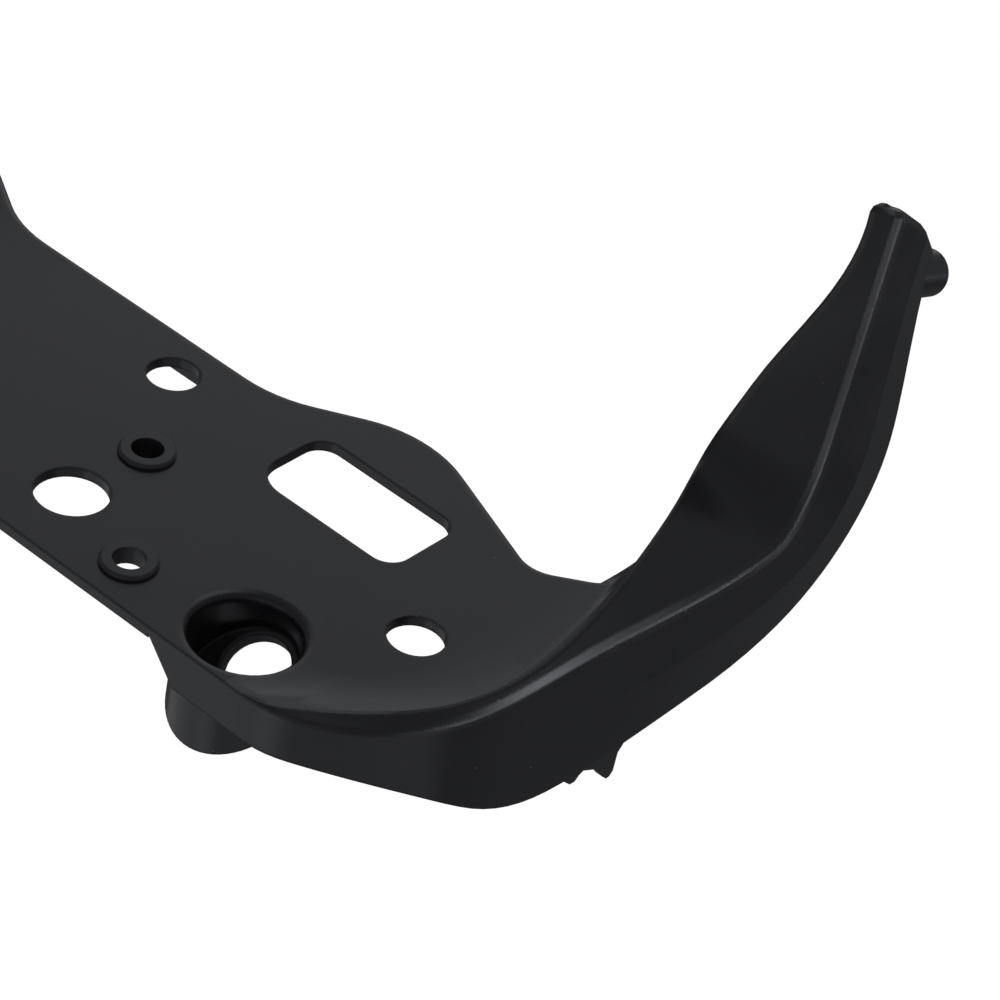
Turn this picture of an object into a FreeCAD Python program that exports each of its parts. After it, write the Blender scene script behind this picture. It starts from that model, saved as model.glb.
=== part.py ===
import FreeCAD, Part
import math
import os
import Sketcher
from FreeCAD import Placement, Rotation, Vector

# Headlight mounting bracket: a drawn steel plate with a cup on each side, a raised rim that runs
# round each end, and two upright arms with a welded boss at each tip.
# Frame: X across the bracket, Y forward, Z up from the plate; millimetres.
# The origin lies in the plate's top face, midway between its two large clearance holes.

os.makedirs("parts", exist_ok=True)
doc = FreeCAD.newDocument("headlight_mounting_bracket")

# Named sizes.
sheet = doc.addObject("Spreadsheet::Sheet", "Sizes")
SIZES = [
    ("sheet_gauge", 3.0),
    ("skin_dip", 0.9),
    ("foot_dip", 0.25),
    ("under_dip", 0.35),
    ("near_edge_y", -21.5),
    ("skirt_start_x", 93.5),
    ("far_lip_drop", 10.5),
    ("far_lip_round", 2.6),
    ("far_edge_y", 70.8),
    ("clear_hole_x", 45.5),
    ("clear_hole_radius", 9.7),
    ("side_hole_x", 136.2),
    ("side_hole_y", 27.4),
    ("side_hole_radius", 7.4),
    ("wire_hole_x", 25.9),
    ("wire_hole_y", 55.2),
    ("wire_hole_radius", 7.2),
    ("slot_x", 91.4),
    ("slot_y", 54.5),
    ("slot_half_length", 23.7),
    ("slot_half_width", 13.2),
    ("slot_corner_radius", 6.2),
    ("slot_wide_corner_radius", 9.5),
    ("inner_collar_x", 45.5),
    ("inner_collar_y", 26.1),
    ("outer_collar_x", 73.8),
    ("outer_collar_y", -8.2),
    ("collar_head_radius", 7.5),
    ("collar_head_height", 1.4),
    ("collar_head_round", 0.7),
    ("collar_neck_radius", 6.0),
    ("collar_bore_radius", 4.25),
    ("collar_fit_gap", 0.03),
    ("short_collar_length", 3.8),
    ("long_collar_length", 14.0),
    ("cup_x", 109.7),
    ("cup_y", -4.3),
    ("cup_inner_radius", 13.9),
    ("cup_wall", 3.0),
    ("cup_roll_radius", 2.4),
    ("cup_floor_tilt", 30.0),
    ("cup_floor_depth", 13.5),
    ("cup_hole_shift_y", 5.0),
    ("cup_hole_shift_x", 1.0),
    ("cup_hole_radius", 8.75),
    ("cup_lip_radius", 10.3),
    ("cup_lip_height", 0.9),
    ("cup_stock_depth", 60.0),
    ("boss_radius", 6.5),
    ("boss_length", 28.0),
    ("boss_end_x", 153.0),
    ("boss_end_y", 203.2),
    ("boss_end_z", 44.6),
    ("boss_bore_radius", 3.4),
    ("boss_bore_depth", 18.0),
    ("boss_end_chamfer", 0.8),
    ("boss_weld_gap", 0.02),
    ("arm_lip_depth", 8.0),
    ("tip_lip_depth", 5.8),
    ("skirt_drop", 12.6),
    ("tip_rise", 8.0),
    ("hook_x", 167.1),
    ("hook_gauge", 2.5),
    ("cup_bottom_round", 3.2),
]
for row, (name, number) in enumerate(SIZES, start=1):
    sheet.set("A%d" % row, name)
    sheet.set("B%d" % row, repr(number))
    sheet.setAlias("B%d" % row, name)
doc.recompute()


def size(name):
    """The number a named size holds."""
    return float(sheet.get(name))


gauge = size("sheet_gauge")


def feature(name, shape):
    obj = doc.addObject("Part::Feature", name)
    obj.Label = name
    obj.Shape = shape
    return obj


def mirrored(shape):
    return shape.mirror(Vector(0, 0, 0), Vector(1, 0, 0))


# Drawn rim and arm.
# Each station of the rim holds three guide points of its outer skin: the bend between web and
# skirt, the crest between plate and web, and the skirt's free edge. They run from the front
# skirt round the corner, along the side and up the arm.
STATIONS = [
    ((124.5, -21.5, 0.0), (124.5, -20.6, 0.3), (124.5, -21.5, -12.6)),
    ((132.6, -20.4, 0.0), (131.8, -18.7, 0.6), (132.6, -20.4, -13.1)),
    ((140.9, -16.8, -0.1), (138.5, -13.6, 1.1), (141.0, -16.6, -13.4)),
    ((156.7, -2.6, 0.0), (152.7, 0.4, 2.9), (157.0, -2.8, -17.4)),
    ((162.6, 7.7, 0.0), (159.0, 9.3, 3.9), (163.3, 7.2, -22.3)),
    ((166.4, 20.5, 0.1), (163.2, 21.2, 4.3), (167.7, 20.3, -29.7)),
    ((168.9, 55.9, 0.2), (163.4, 56.0, 6.6), (171.0, 56.4, -37.4)),
    ((170.2, 74.0, 0.1), (160.7, 73.7, 10.2), (172.0, 73.7, -36.2)),
    ((171.7, 91.8, -0.1), (157.0, 90.0, 13.6), (173.0, 92.9, -34.2)),
    ((172.2, 116.2, -0.6), (150.3, 109.1, 14.6), (173.5, 128.1, -29.9)),
    ((171.8, 124.6, -0.6), (147.9, 115.0, 14.5), (172.9, 142.9, -25.9)),
    ((171.3, 131.5, 0.6), (146.2, 119.7, 15.1), (171.9, 155.9, -19.9)),
    ((170.5, 137.5, 5.1), (145.0, 123.8, 16.7), (170.5, 167.6, -11.2)),
    ((169.5, 143.2, 13.7), (144.6, 128.3, 20.6), (168.5, 177.4, 1.3)),
    ((168.0, 148.0, 26.0), (145.7, 133.2, 28.4), (166.2, 182.1, 16.4)),
    ((166.4, 152.1, 40.3), (148.0, 139.4, 39.7), (163.9, 184.3, 30.6)),
    ((162.5, 162.3, 74.4), (154.8, 156.9, 74.4), (160.4, 188.0, 57.2)),
]
# Inner edge of the skin: the foot of the crest and the hidden edge, for the stations where the
# rim leaves the plate and becomes the arm's own short inner lip.
LEAVE = {
    7: ((157.4, 73.8, 0.0), (150.7, 74.2, -0.9)),
    8: ((154.3, 92.1, 4.0), (151.1, 94.5, -0.9)),
    9: ((149.7, 112.6, 10.7), (149.4, 116.6, 7.2)),
    10: ((147.6, 119.0, 12.9), (147.3, 123.2, 11.0)),
}
ON_PLATE = 7
ARM_START = 11
ARM_FORWARD = Vector(-0.07, 0.95, -0.30)
ARM_UP = Vector(-0.10, 0.27, 0.96)
FOOT_RUN = 9.0
FOOT_SLOPE = 0.36


def vec(point):
    return Vector(*point)


def unit(v):
    w = Vector(v)
    w.normalize()
    return w


def square_to(v, axis):
    """The part of v square to axis, as a unit vector."""
    axis = unit(axis)
    return unit(v - axis * v.dot(axis))


def outer_polygon(index):
    """Five guide points of the outer skin at one station: edge, foot, crest, bend, free edge."""
    bend, crest, free = [vec(p) for p in STATIONS[index]]
    if index < ON_PLATE:
        inward = Vector(crest.x - bend.x, crest.y - bend.y, 0)
        inward = unit(inward)
        foot = Vector(crest.x, crest.y, 0) + inward * (0.5 + FOOT_SLOPE * crest.z)
        foot.z = -size("foot_dip")
        edge = foot + inward * FOOT_RUN
        edge.z = -size("skin_dip")
    elif index in LEAVE:
        foot, edge = [vec(p) for p in LEAVE[index]]
    else:
        share = (index - ARM_START) / (len(STATIONS) - 1.0 - ARM_START)
        depth = size("arm_lip_depth") * (1.0 - share) + size("tip_lip_depth") * share
        foot = crest + ARM_FORWARD * (0.74 * depth)
        edge = crest + ARM_FORWARD * depth
    return [edge, foot, crest, bend, free]


def mitre(point, before, after, sign):
    """The corner moved by one sheet thickness, into the angle (+1) or out of it (-1)."""
    one = unit(before - point)
    two = unit(after - point)
    half = 0.5 * math.acos(max(-1.0, min(1.0, one.dot(two))))
    return point + unit(one + two) * (sign * gauge / max(0.45, math.sin(half)))


def inner_polygon(index, outer):
    edge, foot, crest, bend, free = outer
    under = Vector(0, 0, -gauge)
    hidden = Vector(edge.x, edge.y, -0.6 * gauge)
    if index < ON_PLATE:
        inward = unit(Vector(crest.x - bend.x, crest.y - bend.y, 0))
        corner = bend + inward * gauge + under
        run = Vector(foot.x - bend.x, foot.y - bend.y, 0).Length
        step = Vector(foot.x, foot.y, -gauge - size("under_dip")) + inward * max(0.0, gauge + 2.5 - run)
        middle = (step + corner) * 0.5
        middle.z = step.z + max(0.0, 0.4 * (crest.z - 4.4))
        return [hidden, step, middle, corner, free + inward * gauge]
    side = square_to(bend - crest, crest - foot)
    low = free + square_to(crest - bend, free - bend) * gauge
    top = mitre(crest, foot, bend, 1)
    corner = mitre(bend, crest, free, 1)
    if index == ON_PLATE:
        start = hidden
    else:
        start = edge + side * gauge
    step = foot + side * gauge
    ahead = unit(foot - crest)
    short = 1.6 - (step - top).dot(ahead)
    if short > 0:
        step = step + ahead * short
    ahead = unit(edge - foot)
    short = 1.6 - (start - step).dot(ahead)
    if short > 0:
        start = start + ahead * short
    return [start, step, top, corner, low]


def tip_plane(outer):
    """Point and normal of the plane in which the arm's sides end."""
    edge, foot, crest, bend, free = outer
    lift = ARM_UP * size("tip_rise")
    one, two, three = crest + lift, bend + lift * 0.95, free + lift * 0.35
    normal = unit((two - one).cross(three - one))
    if normal.z < 0:
        normal = normal * -1.0
    return one, normal


def onto_tip(point, plane):
    """The point moved along the arm into the tip plane."""
    at, normal = plane
    return point + ARM_UP * ((at - point).dot(normal) / ARM_UP.dot(normal))


def rounded(before, corner, after, cut):
    """Three points round a corner, set back by cut on both sides."""
    one = corner - before
    two = after - corner
    start = corner - unit(one) * min(cut, 0.42 * one.Length)
    end = corner + unit(two) * min(cut, 0.42 * two.Length)
    return [start, start * 0.25 + corner * 0.5 + end * 0.25, end]


def side_bulge(polygon, amount):
    """Point part-way down the side skirt, pushed out by amount."""
    edge, foot, crest, bend, free = polygon
    lift = square_to(bend - crest, free - bend) * amount
    return bend + (free - bend) * 0.5 + lift


def outer_section(polygon, cuts, bulge):
    """Corner points of one cross-section of the outer skin, with its bends rounded."""
    edge, foot, crest, bend, free = polygon
    points = [edge]
    points += rounded(edge, foot, crest, cuts[0])
    points += rounded(foot, crest, bend, cuts[1])
    points += rounded(crest, bend, free, cuts[2])
    return points + [side_bulge(polygon, bulge), free]


def inner_section(polygon, bulge):
    edge, foot, crest, bend, free = polygon
    return [edge, foot, crest, bend, side_bulge(polygon, bulge), free]


def common_spacing(columns):
    """One set of curve parameters for all guide lines, from the average distance of their points."""
    count = len(columns[0])
    shares = [0.0] * count
    for column in columns:
        steps = [(column[i] - column[i - 1]).Length for i in range(1, count)]
        total = sum(steps)
        run = 0.0
        for i, step in enumerate(steps, start=1):
            run += step / total
            shares[i] += run / len(columns)
    shares[-1] = 1.0
    return shares


def ruled(one, two):
    """Face of straight rulings between two curves that share their parameters."""
    surface = Part.BSplineSurface()
    surface.buildFromPolesMultsKnots(
        [one.getPoles(), two.getPoles()],
        [2, 2],
        one.getMultiplicities(),
        [0.0, 1.0],
        one.getKnots(),
        False,
        False,
        1,
        one.Degree,
    )
    return surface.toShape()


def flat_face(points):
    return Part.Face(Part.makePolygon(points + points[:1]))


def thin_solid(outer_rows, inner_rows):
    """Solid between two skins, each given as rows of points with flat first and last rows."""
    columns = [list(column) for column in zip(*outer_rows)]
    columns += [list(column) for column in zip(*inner_rows)][::-1]
    shares = common_spacing(columns)
    curves = []
    for column in columns:
        curve = Part.BSplineCurve()
        curve.interpolate(Points=column, Parameters=shares)
        curves.append(curve)
    faces = [ruled(a, b) for a, b in zip(curves, curves[1:] + curves[:1])]
    faces.append(flat_face(outer_rows[0] + inner_rows[0][::-1]))
    faces.append(flat_face(outer_rows[-1] + inner_rows[-1][::-1]))
    shell = Part.makeShell(faces)
    shell.sewShape()
    solid = Part.makeSolid(Part.Shell(shell.Faces))
    if solid.Volume < 0:
        solid.reverse()
    return solid


def tip_lid(outline, plane):
    """Closed end of the arm: its outline drawn in towards the top in two steps."""
    at, normal = plane
    along = unit(outline[-1] - outline[-3])
    across = unit(normal.cross(along))
    middle = Vector(0, 0, 0)
    for point in outline:
        middle = middle + point * (1.0 / len(outline))
    rings = []
    for step, rise in ((0.0, 0.0), (0.5, 1.6), (1.9, 3.0)):
        ring = []
        for point in outline:
            away = point - middle
            u, v = away.dot(along), away.dot(across)
            u -= math.copysign(min(step, abs(u)), u)
            v -= math.copysign(min(step, abs(v)), v)
            ring.append(middle + along * u + across * v + normal * rise)
        rings.append(Part.makePolygon(ring + ring[:1]))
    return Part.makeLoft(rings, True, True)


def arm_solids():
    """The drawn rim with its arm, and the lid that closes the arm's tip."""
    outer_guides = [outer_polygon(i) for i in range(len(STATIONS))]
    inner_guides = [inner_polygon(i, g) for i, g in enumerate(outer_guides)]
    outer_rows = []
    inner_rows = []
    for index, (out, inn) in enumerate(zip(outer_guides, inner_guides)):
        rise = min(1.0, max(0.0, (index - 1) / 5.0))
        outer_cuts = (1.0 + 4.0 * rise, 0.5 + 1.5 * rise, 0.5 + 2.0 * rise)
        climb = min(1.0, max(0.0, (index - 6) / 7.0))
        outer_rows.append(outer_section(out, outer_cuts, 2.2 * climb))
        inner_rows.append(inner_section(inn, 2.2 * climb))
    plane = tip_plane(outer_guides[-1])
    outer_rows.append([onto_tip(p, plane) for p in outer_rows[-1]])
    inner_rows.append([onto_tip(p, plane) for p in inner_rows[-1]])
    return thin_solid(outer_rows, inner_rows), tip_lid(outer_rows[-1], plane)


# Flat plate with its far lip, for the +X half.
# The far edge runs straight from the middle, swells round the slot and rises into the arm. Each
# corner of it has a place and a rounding radius.
far_y = size("far_edge_y")
FAR_CORNERS = [
    ((0.0, far_y), 0.0),
    ((48.0, far_y), 38.0),
    ((84.2, far_y + 21.7), 35.0),
    ((136.8, far_y - 0.3), 9.5),
    ((151.0, far_y + 10.1), 8.0),
    ((152.9, 88.6), 0.0),
]


def under_rim(index, share):
    """Where the plate ends inside the rim at one station, part of the way from foot to crest."""
    edge, foot, crest, bend, free = outer_polygon(index)
    return foot.x + (crest.x - foot.x) * share, foot.y + (crest.y - foot.y) * share


near = size("near_edge_y")
skirt_x = size("skirt_start_x")
rim_start_x = STATIONS[0][0][0]
RIGHT_END = [(154.3, 88.6), (155.9, 82.0), under_rim(7, 0.25), under_rim(6, 0.35)]
RIGHT_END += [under_rim(i, 0.55) for i in (5, 4, 3, 2, 1)] + [(rim_start_x, near + 1.1)]


def rounded_path(corners, level):
    """Edges of a path through corners that each have a rounding radius."""
    edges = []
    last = Vector(*corners[0][0], level)
    for i in range(1, len(corners) - 1):
        before, spot, after = [Vector(*corners[k][0], level) for k in (i - 1, i, i + 1)]
        one, two = unit(before - spot), unit(after - spot)
        half = 0.5 * math.acos(max(-1.0, min(1.0, one.dot(two))))
        radius = corners[i][1]
        start = spot + one * (radius / math.tan(half))
        end = spot + two * (radius / math.tan(half))
        middle = spot + unit(one + two) * (radius / math.sin(half) - radius)
        edges.append(Part.makeLine(last, start))
        edges.append(Part.Arc(start, middle, end).toShape())
        last = end
    edges.append(Part.makeLine(last, Vector(*corners[-1][0], level)))
    return edges


def straight(points, level):
    corners = [Vector(x, y, level) for x, y in points]
    return [Part.makeLine(a, b) for a, b in zip(corners[:-1], corners[1:])]


def moved_path(corners, gap):
    """The path moved to its right-hand side by gap, with radii to match."""
    moved = []
    count = len(corners)
    for i, ((x, y), radius) in enumerate(corners):
        legs = []
        for a, b in ((i - 1, i), (i, i + 1)):
            if a >= 0 and b < count:
                (ax, ay), (bx, by) = corners[a][0], corners[b][0]
                legs.append(unit(Vector(bx - ax, by - ay, 0)))
        sides = [Vector(leg.y, -leg.x, 0) for leg in legs]
        aim = unit(sides[0] + sides[-1])
        reach = gap / aim.dot(sides[0])
        turn = legs[0].cross(legs[-1]).z
        grown = radius + math.copysign(gap, turn) if radius > 0 else 0.0
        moved.append(((x + aim.x * reach, y + aim.y * reach), grown))
    return moved


def plate_blank():
    """Half of the plate with its far lip, cut from a thicker blank."""
    drop = size("far_lip_drop")
    end = FAR_CORNERS[-1][0]
    border = [end] + RIGHT_END
    border += [(skirt_x + 1.0, near + 1.1), (skirt_x + 0.6, near), (0.0, near), FAR_CORNERS[0][0]]
    outline = Part.Wire(rounded_path(FAR_CORNERS, 0.0) + straight(border, 0.0))
    thick = Part.Face(outline).extrude(Vector(0, 0, -drop))
    lip_path = moved_path(FAR_CORNERS, gauge)
    (first_x, first_y), (end_x, end_y) = lip_path[0][0], lip_path[-1][0]
    under = [(end_x, end_y), (end_x + 3.0, end_y + 12.0), (190.0, 60.0), (190.0, near - 20.0)]
    under += [(-5.0, near - 20.0), (-5.0, first_y), (first_x, first_y)]
    under_wire = Part.Wire(rounded_path(lip_path, -gauge) + straight(under, -gauge))
    made = thick.cut(Part.Face(under_wire).extrude(Vector(0, 0, -drop)))
    far_top = []
    for edge in rounded_path(FAR_CORNERS, 0.0):
        middle = edge.valueAt(0.5 * (edge.FirstParameter + edge.LastParameter))
        spot = Part.Vertex(middle)
        far_top += [e for e in made.Edges if e.distToShape(spot)[0] < 0.001]
    return made.makeFillet(size("far_lip_round"), far_top)


def side_profile(points, x, depth):
    """Flat piece across X from an outline in the side view."""
    corners = [Vector(x, y, z) for y, z in points]
    return flat_face(corners).extrude(Vector(depth, 0, 0))


# Straight run of the front skirt, from its sloped end to the start of the drawn rim.
skirt_drop = size("skirt_drop")
skirt_corners = [
    Vector(skirt_x, near, 0),
    Vector(rim_start_x, near, 0),
    Vector(rim_start_x, near, -skirt_drop),
    Vector(skirt_x + 10.2, near, -skirt_drop),
    Vector(skirt_x + 1.0, near, -2.4),
]
skirt = flat_face(skirt_corners).extrude(Vector(0, gauge, 0))

# Small wiring hook that hangs from the inside of the side skirt.
HOOK = [
    (52.0, -30.0), (80.0, -30.0), (78.6, -40.5), (77.0, -42.5), (76.8, -48.6), (75.6, -50.0),
    (74.4, -50.0), (72.6, -48.4), (68.6, -43.4), (62.6, -40.4), (61.0, -41.0), (59.6, -42.4),
    (57.6, -42.2), (54.0, -39.0),
]
hook = side_profile(HOOK, size("hook_x"), size("hook_gauge"))


# Cup that hangs under the plate, with a sloped floor.
def cup_parts():
    """Outer body, inner hollow, rolled mouth, lip ring and floor hole of the cup."""
    x, y = size("cup_x"), size("cup_y")
    inner = size("cup_inner_radius")
    outer = inner + size("cup_wall")
    tilt = size("cup_floor_tilt")
    floor_at = Vector(x + size("cup_hole_shift_x"), y + size("cup_hole_shift_y"), -size("cup_floor_depth"))
    upward = Vector(0, 0, 1)
    normal = Vector(0, -math.sin(math.radians(tilt)), math.cos(math.radians(tilt)))
    stock = size("cup_stock_depth")

    def above(offset):
        block = Part.makeBox(4 * stock, 4 * stock, 2 * stock, Vector(-2 * stock, -2 * stock, offset))
        block.Placement = Placement(floor_at, Rotation(upward, normal))
        return block

    body = Part.makeCylinder(outer, stock, Vector(x, y, -stock - 1.0), upward).common(above(-gauge))
    hollow = Part.makeCylinder(inner, stock + 4.0, Vector(x, y, -stock), upward).common(above(0.0))
    low = [e for e in body.Edges if e.BoundBox.ZMax < -4.0 and e.Length > 40]
    body = body.makeChamfer(size("cup_bottom_round"), low)
    roll = size("cup_roll_radius")
    steps = [math.radians(angle) for angle in (0, 30, 60, 90)]
    flare = [Vector(x, y, -roll)]
    for step in steps:
        flare.append(Vector(x + inner + roll * (1 - math.cos(step)), y, -roll * (1 - math.sin(step))))
    flare.append(Vector(x, y, 0))
    flare = flat_face(flare).revolve(Vector(x, y, 0), upward, 360)
    ring = Part.makeCylinder(size("cup_lip_radius"), size("cup_lip_height") + 1.0, floor_at - normal, normal)
    hole = Part.makeCylinder(size("cup_hole_radius"), stock, floor_at - normal * stock / 2, normal)
    return body, hollow, flare, ring, hole


cup_body, cup_hollow, cup_flare, cup_ring, cup_hole = cup_parts()


# Openings in the plate.
def round_hole(x, y, radius):
    return Part.makeCylinder(radius, 40, Vector(x, y, -20), Vector(0, 0, 1))


def slot_cutter():
    x, y = size("slot_x"), size("slot_y")
    a, b = size("slot_half_length"), size("slot_half_width")
    block = Part.makeBox(2 * a, 2 * b, 40, Vector(x - a, y - b, -20))
    rest = []
    for edge in block.Edges:
        place = edge.CenterOfMass
        upright = edge.BoundBox.ZLength > 30
        if upright and not (place.x < x and place.y < y):
            rest.append(edge)
    block = block.makeFillet(size("slot_corner_radius"), rest)
    wide = []
    for edge in block.Edges:
        place = edge.CenterOfMass
        if edge.BoundBox.ZLength > 30 and place.x < x - a + 0.1 and place.y < y - b + 0.1:
            wide.append(edge)
    return block.makeFillet(size("slot_wide_corner_radius"), wide)


neck_hole = size("collar_neck_radius") + size("collar_fit_gap")
cutters = [
    round_hole(size("clear_hole_x"), 0, size("clear_hole_radius")),
    round_hole(size("side_hole_x"), size("side_hole_y"), size("side_hole_radius")),
    round_hole(size("inner_collar_x"), size("inner_collar_y"), neck_hole),
    round_hole(size("outer_collar_x"), size("outer_collar_y"), neck_hole),
    slot_cutter(),
]

# Tip boss.
BOSS_END = Vector(size("boss_end_x"), size("boss_end_y"), size("boss_end_z"))
BOSS_AXIS = unit(Vector(0.03, 0.95, -0.30))
boss_start = BOSS_END - BOSS_AXIS * size("boss_length")


def boss_cutter():
    return Part.makeCylinder(
        size("boss_radius") + size("boss_weld_gap"), size("boss_length") + 10, boss_start, BOSS_AXIS
    )


# One sheet: the +X half is joined, turned over for the other half, and the single wiring hole is cut.
arm, lid = arm_solids()
side = arm.fuse(lid).cut(boss_cutter()).fuse([skirt, hook])
plate = plate_blank().cut(cutters)
half = plate.fuse([side, cup_body])
half = half.cut([cup_hollow, cup_flare]).fuse(cup_ring).cut(cup_hole)
whole = half.fuse(mirrored(half))
whole = whole.cut(round_hole(size("wire_hole_x"), size("wire_hole_y"), size("wire_hole_radius")))
feature("bracket_sheet", whole.Solids[0])


def turned_body(name, profile, placement):
    """A turned piece: a PartDesign body whose sketch holds radius across and height up.

    Each corner of the profile is (radius expression, height expression).
    """
    body = doc.addObject("PartDesign::Body", "body_" + name)
    body.Label = name
    sketch = body.newObject("Sketcher::SketchObject", "sketch_" + name)
    plane = [f for f in body.Origin.OriginFeatures if f.Name.startswith("XZ_Plane")][0]
    sketch.AttachmentSupport = [(plane, "")]
    sketch.MapMode = "FlatFace"
    start = [(8.0, 0.5), (12.0, 0.6), (12.5, 3.0), (11.0, 9.0), (7.0, 9.5), (6.5, 4.0), (7.2, 2.0)]
    count = len(profile)
    points = [Vector(start[i][0], start[i][1], 0) for i in range(count)]
    for i in range(count):
        sketch.addGeometry(Part.LineSegment(points[i], points[(i + 1) % count]), False)
    for i in range(count):
        sketch.addConstraint(Sketcher.Constraint("Coincident", i, 2, (i + 1) % count, 1))
    for i, (across, up) in enumerate(profile):
        spot = sketch.addConstraint(Sketcher.Constraint("DistanceX", -1, 1, i, 1, points[i].x))
        sketch.setExpression("Constraints[%d]" % spot, across)
        spot = sketch.addConstraint(Sketcher.Constraint("DistanceY", -1, 1, i, 1, points[i].y))
        sketch.setExpression("Constraints[%d]" % spot, up)
    turn = body.newObject("PartDesign::Revolution", "turn_" + name)
    turn.Profile = sketch
    turn.ReferenceAxis = (sketch, ["V_Axis"])
    turn.Angle = 360
    body.Tip = turn
    body.Placement = placement
    return body


def collar_profile(length):
    head = "Sizes.collar_head_radius"
    neck = "Sizes.collar_neck_radius"
    bore = "Sizes.collar_bore_radius"
    high = "Sizes.collar_head_height"
    soft = "Sizes.collar_head_round"
    return [
        (bore, "-Sizes.%s" % length),
        (neck, "-Sizes.%s" % length),
        (neck, "0 mm"),
        (head, "0 mm"),
        (head, "%s - %s" % (high, soft)),
        ("%s - %s" % (head, soft), high),
        (bore, high),
    ]


BOSS_PROFILE = [
    ("0 mm", "0 mm"),
    ("Sizes.boss_radius", "0 mm"),
    ("Sizes.boss_radius", "Sizes.boss_length - Sizes.boss_end_chamfer"),
    ("Sizes.boss_radius - Sizes.boss_end_chamfer", "Sizes.boss_length"),
    ("Sizes.boss_bore_radius", "Sizes.boss_length"),
    ("Sizes.boss_bore_radius", "Sizes.boss_length - Sizes.boss_bore_depth"),
    ("0 mm", "Sizes.boss_length - Sizes.boss_bore_depth"),
]

SIDES = (("right", 1), ("left", -1))
LONG = collar_profile("long_collar_length")
SHORT = collar_profile("short_collar_length")
for word, hand in SIDES:
    inner_at = Vector(hand * size("inner_collar_x"), size("inner_collar_y"), 0)
    outer_at = Vector(hand * size("outer_collar_x"), size("outer_collar_y"), 0)
    turned_body("inner_collar_" + word, LONG, Placement(inner_at, Rotation()))
    turned_body("outer_collar_" + word, SHORT, Placement(outer_at, Rotation()))

for word, hand in SIDES:
    start = Vector(hand * boss_start.x, boss_start.y, boss_start.z)
    axis = Vector(hand * BOSS_AXIS.x, BOSS_AXIS.y, BOSS_AXIS.z)
    turned_body("tip_boss_" + word, BOSS_PROFILE, Placement(start, Rotation(Vector(0, 0, 1), axis)))

doc.recompute()

NAMES = ["bracket_sheet"]
for word, hand in SIDES:
    NAMES += ["inner_collar_" + word, "outer_collar_" + word, "tip_boss_" + word]

for obj in doc.Objects:
    if "Invalid" in obj.State or "Error" in obj.State:
        raise RuntimeError("%s did not compute: %s" % (obj.Name, obj.State))
for name in NAMES:
    found = [o for o in doc.Objects if o.Label == name][0]
    shape = found.Shape
    if shape.isNull() or not shape.isValid() or len(shape.Solids) != 1:
        raise RuntimeError(name + " is not one sound solid")
    shape.exportStep("parts/%s.step" % name)
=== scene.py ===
import math

import bpy
from mathutils import Matrix, Vector


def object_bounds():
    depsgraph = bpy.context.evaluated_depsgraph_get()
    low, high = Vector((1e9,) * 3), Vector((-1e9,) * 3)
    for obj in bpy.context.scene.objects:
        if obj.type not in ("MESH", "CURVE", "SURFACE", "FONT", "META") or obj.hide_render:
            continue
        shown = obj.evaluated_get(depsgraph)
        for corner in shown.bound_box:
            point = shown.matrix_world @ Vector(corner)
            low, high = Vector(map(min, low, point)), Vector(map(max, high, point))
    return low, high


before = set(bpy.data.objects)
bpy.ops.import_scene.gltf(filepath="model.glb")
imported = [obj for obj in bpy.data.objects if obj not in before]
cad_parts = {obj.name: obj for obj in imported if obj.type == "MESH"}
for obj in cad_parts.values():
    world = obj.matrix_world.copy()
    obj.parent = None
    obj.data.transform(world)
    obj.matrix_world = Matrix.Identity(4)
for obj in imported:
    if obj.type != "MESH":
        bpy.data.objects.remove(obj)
start_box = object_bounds()

# Camera: the photograph's long lens, high on the right-hand side and rolled a little.
SENSOR = 36.0
FOCAL_PIXELS = 3566.0
IMAGE_PIXELS = 1000.0
CAMERA_AT = Vector((0.5126, -0.5184, 0.5447))
CAMERA_RIGHT = Vector((0.7474, 0.6435, 0.1652))
CAMERA_UP = Vector((-0.4973, 0.3770, 0.7814))

CLIP_NEAR = 0.05
CLIP_FAR = 50.0

# Powder coat, with the radius of the softened edges of each kind of piece.
COAT_COLOUR = (0.0125, 0.0127, 0.0140, 1.0)
COAT_ROUGHNESS = 0.27
# The collars wear the same black coat as the sheet, painted lighter here as painted light in their
# bores and on their rings.
COLLAR_PAINTED_LIGHT_COLOUR = (0.024, 0.0245, 0.027, 1.0)
COLLAR_ROUGHNESS = 0.36
SHEET_EDGE = 0.0011
COLLAR_EDGE = 0.0004
BOSS_EDGE = 0.0005
EDGE_SAMPLES = 4

# Orange peel, and the patches in which the gloss changes.
GRAIN_SCALE = 1400.0
GRAIN_STRENGTH = 0.05
GRAIN_DEPTH = 0.0002
PATCH_SCALE = 38.0
PATCH_LOW = 0.3
PATCH_HIGH = 0.7
GLOSS_SPREAD = 0.03

# Dust specks: the cores of a few of the cells in a fine cell pattern.
DUST_COLOUR = (0.08, 0.08, 0.08, 1.0)
DUST_SCALE = 210.0
DUST_CORE = 0.05
DUST_RIM = 0.09
DUST_PICK_LOW = 0.80
DUST_PICK_HIGH = 0.84

# The soft dish where the plate turns up into the rim, round each front corner: it starts and ends
# at two radii about the corner's centre, begins past the cup, and weakens along the side.
CORNER_AT_X = 0.118
CORNER_AT_Y = 0.024
DISH_START = 0.026
DISH_END = 0.043
DISH_CURVE = 2.0
DISH_RISE = 0.0036
DISH_START_X = 0.119
DISH_FULL_X = 0.135
DISH_WEAK_Y = 0.040
DISH_WEAK_SHARE = 0.35
PLATE_LEVEL = 0.985
PLATE_LEVEL_FADE = 0.01

# Stage.
FLOOR_DROP = 0.75
FLOOR_REACH = 6.0
FLOOR_COLOUR = (0.24, 0.24, 0.24, 1.0)
FLOOR_WHITE = 1.06
FLOOR_WHITE_SHARE = 0.95
WORLD_LIGHT = 0.19
LIGHT_TINT = (0.96, 0.98, 1.05)

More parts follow.
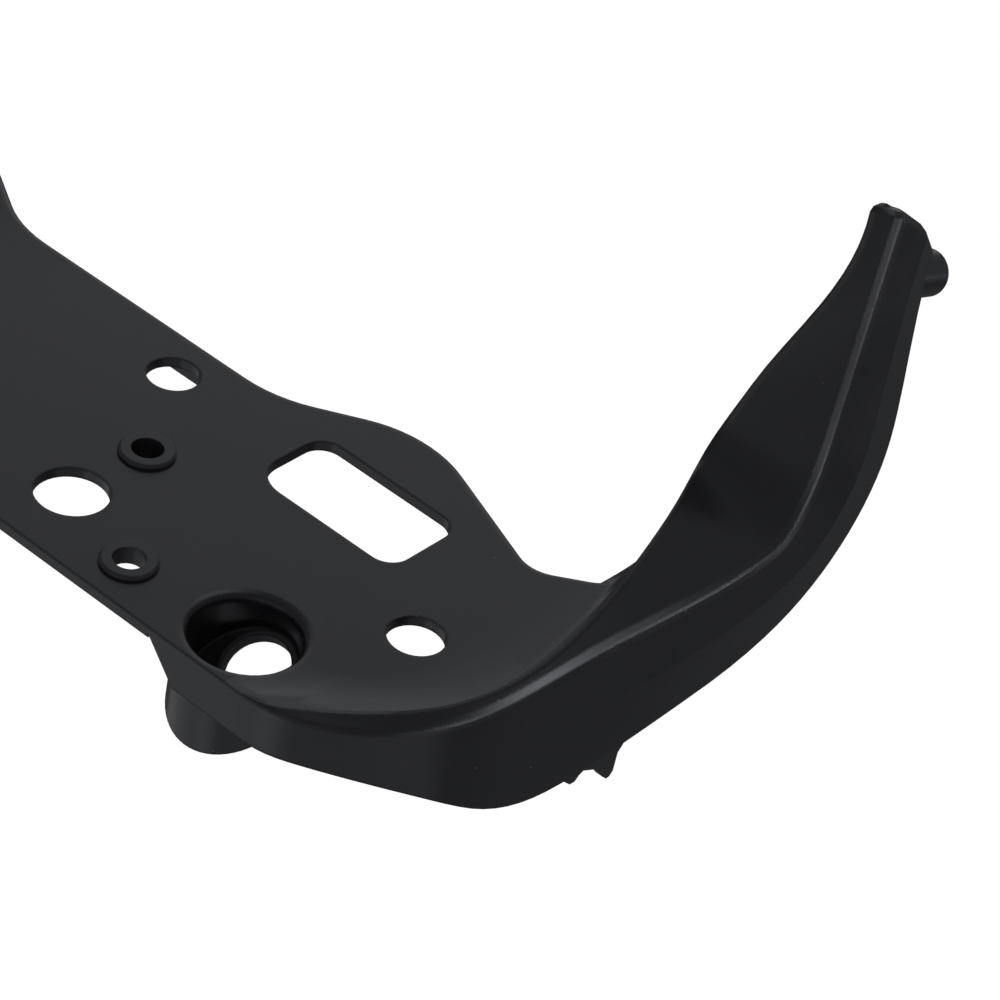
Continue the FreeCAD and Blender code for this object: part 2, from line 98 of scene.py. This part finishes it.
# Softboxes round the part: name, azimuth, elevation, distance, width, height, brightness.
LAMPS_AIM = Vector((0.10, 0.06, 0.0))
SOFTBOXES = [
    ("right_strip", 18.0, -3.0, 1.3, 1.7, 0.20, 5.7),
    ("back_sky", 127.0, 24.0, 1.5, 1.5, 1.4, 0.325),
    ("top_box", 90.0, 64.0, 1.2, 0.5, 0.5, 1.2),
    ("front_box", -82.0, 10.0, 1.4, 1.9, 0.7, 0.43),
    ("left_low", -130.0, -36.0, 0.9, 1.4, 0.8, 0.42),
    ("front_low", -50.0, -38.0, 0.9, 1.6, 0.8, 0.245),
]


def node(tree, kind, **inputs):
    """A new shader node with some of its inputs set."""
    made = tree.nodes.new(kind)
    for name, value in inputs.items():
        made.inputs[name.replace("_", " ")].default_value = value
    return made


def ramp(tree, source, low, high, start, end):
    """The source value spread from low..high to start..end."""
    spread = tree.nodes.new("ShaderNodeMapRange")
    spread.inputs["From Min"].default_value = low
    spread.inputs["From Max"].default_value = high
    spread.inputs["To Min"].default_value = start
    spread.inputs["To Max"].default_value = end
    tree.links.new(source, spread.inputs["Value"])
    return spread.outputs["Result"]


def math_node(tree, operation, one, two=None):
    """A math node on sockets or numbers."""
    made = tree.nodes.new("ShaderNodeMath")
    made.operation = operation
    for socket, value in zip(made.inputs, (one, two)):
        if isinstance(value, float):
            socket.default_value = value
        elif value is not None:
            tree.links.new(value, socket)
    return made.outputs["Value"]


def corner_dish(tree, place):
    """Height of the plate's soft rise towards the rim at the front corners, from 0 to 1."""
    parts = tree.nodes.new("ShaderNodeSeparateXYZ")
    tree.links.new(place, parts.inputs["Vector"])
    across = math_node(tree, "ABSOLUTE", parts.outputs["X"])
    beyond_x = math_node(tree, "SUBTRACT", across, CORNER_AT_X)
    short_y = math_node(tree, "SUBTRACT", CORNER_AT_Y, parts.outputs["Y"])
    beyond_y = math_node(tree, "MAXIMUM", short_y, 0.0)
    square_x = math_node(tree, "MULTIPLY", beyond_x, beyond_x)
    square_y = math_node(tree, "MULTIPLY", beyond_y, beyond_y)
    reach = math_node(tree, "SQRT", math_node(tree, "ADD", square_x, square_y))
    near_rim = math_node(tree, "POWER", ramp(tree, reach, DISH_START, DISH_END, 0.0, 1.0), DISH_CURVE)
    past_cup = ramp(tree, across, DISH_START_X, DISH_FULL_X, 0.0, 1.0)
    at_front = ramp(tree, parts.outputs["Y"], 0.0, DISH_WEAK_Y, 1.0, DISH_WEAK_SHARE)
    facing = tree.nodes.new("ShaderNodeNewGeometry")
    lean = tree.nodes.new("ShaderNodeSeparateXYZ")
    tree.links.new(facing.outputs["True Normal"], lean.inputs["Vector"])
    flat = ramp(tree, lean.outputs["Z"], PLATE_LEVEL - PLATE_LEVEL_FADE, PLATE_LEVEL, 0.0, 1.0)
    shape = math_node(tree, "MULTIPLY", math_node(tree, "MULTIPLY", near_rim, past_cup), at_front)
    return math_node(tree, "MULTIPLY", shape, flat)


def powder_coat(name, roughness, softness, rise=0.0, base=COAT_COLOUR):
    """Satin black powder coat: fine orange peel, softened edges, patchy gloss and pale dust."""
    material = bpy.data.materials.new(name)
    material.use_nodes = True
    tree = material.node_tree
    link = tree.links.new
    shader = tree.nodes["Principled BSDF"]
    place = tree.nodes.new("ShaderNodeTexCoord")

    # Relief.
    grain = node(tree, "ShaderNodeTexNoise", Scale=GRAIN_SCALE, Detail=2.0, Roughness=0.5)
    link(place.outputs["Object"], grain.inputs["Vector"])
    edge = node(tree, "ShaderNodeBevel", Radius=softness)
    edge.samples = EDGE_SAMPLES
    surface = edge.outputs["Normal"]
    if rise > 0.0:
        dish = node(tree, "ShaderNodeBump", Strength=1.0, Distance=rise)
        link(corner_dish(tree, place.outputs["Object"]), dish.inputs["Height"])
        link(surface, dish.inputs["Normal"])
        surface = dish.outputs["Normal"]
    bump = node(tree, "ShaderNodeBump", Strength=GRAIN_STRENGTH, Distance=GRAIN_DEPTH)
    link(grain.outputs["Fac"], bump.inputs["Height"])
    link(surface, bump.inputs["Normal"])
    link(bump.outputs["Normal"], shader.inputs["Normal"])

    # Gloss.
    patches = node(tree, "ShaderNodeTexNoise", Scale=PATCH_SCALE, Detail=4.0, Roughness=0.6)
    link(place.outputs["Object"], patches.inputs["Vector"])
    smooth, rough = roughness - GLOSS_SPREAD, roughness + GLOSS_SPREAD
    gloss = ramp(tree, patches.outputs["Fac"], PATCH_LOW, PATCH_HIGH, smooth, rough)
    link(gloss, shader.inputs["Roughness"])

    # Colour and dust.
    cells = node(tree, "ShaderNodeTexVoronoi", Scale=DUST_SCALE, Randomness=1.0)
    link(place.outputs["Object"], cells.inputs["Vector"])
    core = ramp(tree, cells.outputs["Distance"], DUST_CORE, DUST_RIM, 1.0, 0.0)
    pick = ramp(tree, cells.outputs["Color"], DUST_PICK_LOW, DUST_PICK_HIGH, 0.0, 1.0)
    specks = math_node(tree, "MULTIPLY", core, pick)
    colour = tree.nodes.new("ShaderNodeMix")
    colour.data_type = "RGBA"
    colour.inputs["A"].default_value = base
    colour.inputs["B"].default_value = DUST_COLOUR
    link(specks, colour.inputs["Factor"])
    link(colour.outputs["Result"], shader.inputs["Base Color"])
    return material


sheet_coat = powder_coat("coated_sheet", COAT_ROUGHNESS, SHEET_EDGE, DISH_RISE)
# The collar coat's lighter base colour is painted light for the lit bores and rings.
collar_coat_with_painted_light = powder_coat("coated_collar", COLLAR_ROUGHNESS, COLLAR_EDGE, base=COLLAR_PAINTED_LIGHT_COLOUR)
boss_coat = powder_coat("coated_boss", COAT_ROUGHNESS, BOSS_EDGE)

COATS = {"bracket_sheet": sheet_coat}
for side in ("right", "left"):
    COATS["inner_collar_" + side] = collar_coat_with_painted_light
    COATS["outer_collar_" + side] = collar_coat_with_painted_light
    COATS["tip_boss_" + side] = boss_coat
for name, coat in COATS.items():
    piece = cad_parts[name]
    piece.data.materials.clear()
    piece.data.materials.append(coat)


def white_for_camera(tree, plain, white, share):
    """Mix a shader with white wherever the camera looks straight at it."""
    ray = tree.nodes.new("ShaderNodeLightPath")
    part = math_node(tree, "MULTIPLY", ray.outputs["Is Camera Ray"], share)
    mixed = tree.nodes.new("ShaderNodeMixShader")
    tree.links.new(part, mixed.inputs["Fac"])
    tree.links.new(plain, mixed.inputs[1])
    tree.links.new(white, mixed.inputs[2])
    return mixed.outputs["Shader"]


def make_floor(level):
    """A pale floor below the part, white to the camera with a trace of the part's shadow."""
    mesh = bpy.data.meshes.new("floor")
    r = FLOOR_REACH
    mesh.from_pydata([(-r, -r, 0), (r, -r, 0), (r, r, 0), (-r, r, 0)], [], [(0, 1, 2, 3)])
    floor = bpy.data.objects.new("floor", mesh)
    floor.location = (0.0, 0.0, level)
    bpy.context.collection.objects.link(floor)
    paint = bpy.data.materials.new("floor_paint")
    paint.use_nodes = True
    tree = paint.node_tree
    tree.nodes.clear()
    output = tree.nodes.new("ShaderNodeOutputMaterial")
    matt = node(tree, "ShaderNodeBsdfDiffuse", Color=FLOOR_COLOUR)
    white = node(tree, "ShaderNodeEmission", Color=(1.0, 1.0, 1.0, 1.0), Strength=FLOOR_WHITE)
    mixed = white_for_camera(tree, matt.outputs["BSDF"], white.outputs["Emission"], FLOOR_WHITE_SHARE)
    tree.links.new(mixed, output.inputs["Surface"])
    mesh.materials.append(paint)


def make_world():
    """Dim grey light all round, white where the camera looks past the floor."""
    world = bpy.data.worlds.new("studio")
    bpy.context.scene.world = world
    world.use_nodes = True
    tree = world.node_tree
    tree.nodes.clear()
    output = tree.nodes.new("ShaderNodeOutputWorld")
    dim = node(tree, "ShaderNodeBackground", Color=LIGHT_TINT + (1.0,), Strength=WORLD_LIGHT)
    white = node(tree, "ShaderNodeBackground", Color=(1.0, 1.0, 1.0, 1.0), Strength=1.0)
    mixed = white_for_camera(tree, dim.outputs["Background"], white.outputs["Background"], 1.0)
    tree.links.new(mixed, output.inputs["Surface"])


def softbox(name, azimuth, elevation, distance, width, height, brightness):
    """A rectangular lamp in a direction from the part, facing it, with an even brightness."""
    lamp = bpy.data.lights.new(name, "AREA")
    lamp.shape = "RECTANGLE"
    lamp.size = width
    lamp.size_y = height
    lamp.color = LIGHT_TINT
    lamp.energy = brightness * math.pi * width * height
    a, e = math.radians(azimuth), math.radians(elevation)
    away = Vector((math.cos(a) * math.cos(e), math.sin(a) * math.cos(e), math.sin(e)))
    holder = bpy.data.objects.new(name, lamp)
    holder.location = LAMPS_AIM + away * distance
    holder.rotation_mode = "QUATERNION"
    holder.rotation_quaternion = (-away).to_track_quat("-Z", "Y")
    holder.visible_camera = False
    bpy.context.collection.objects.link(holder)


make_floor(start_box[0].z - FLOOR_DROP)
make_world()
for values in SOFTBOXES:
    softbox(*values)

camera_data = bpy.data.cameras.new("camera")
camera_data.sensor_width = SENSOR
camera_data.sensor_fit = "HORIZONTAL"
camera_data.lens = FOCAL_PIXELS / IMAGE_PIXELS * SENSOR
camera_data.clip_start = CLIP_NEAR
camera_data.clip_end = CLIP_FAR
camera_data.dof.use_dof = False
camera = bpy.data.objects.new("camera", camera_data)
bpy.context.collection.objects.link(camera)
right = CAMERA_RIGHT.normalized()
back = right.cross(CAMERA_UP.normalized()).normalized()
up = back.cross(right).normalized()
turn = Matrix((right, up, back)).transposed().to_4x4()
camera.matrix_world = Matrix.Translation(CAMERA_AT) @ turn
bpy.context.scene.camera = camera

bpy.context.scene.view_settings.view_transform = "Standard"
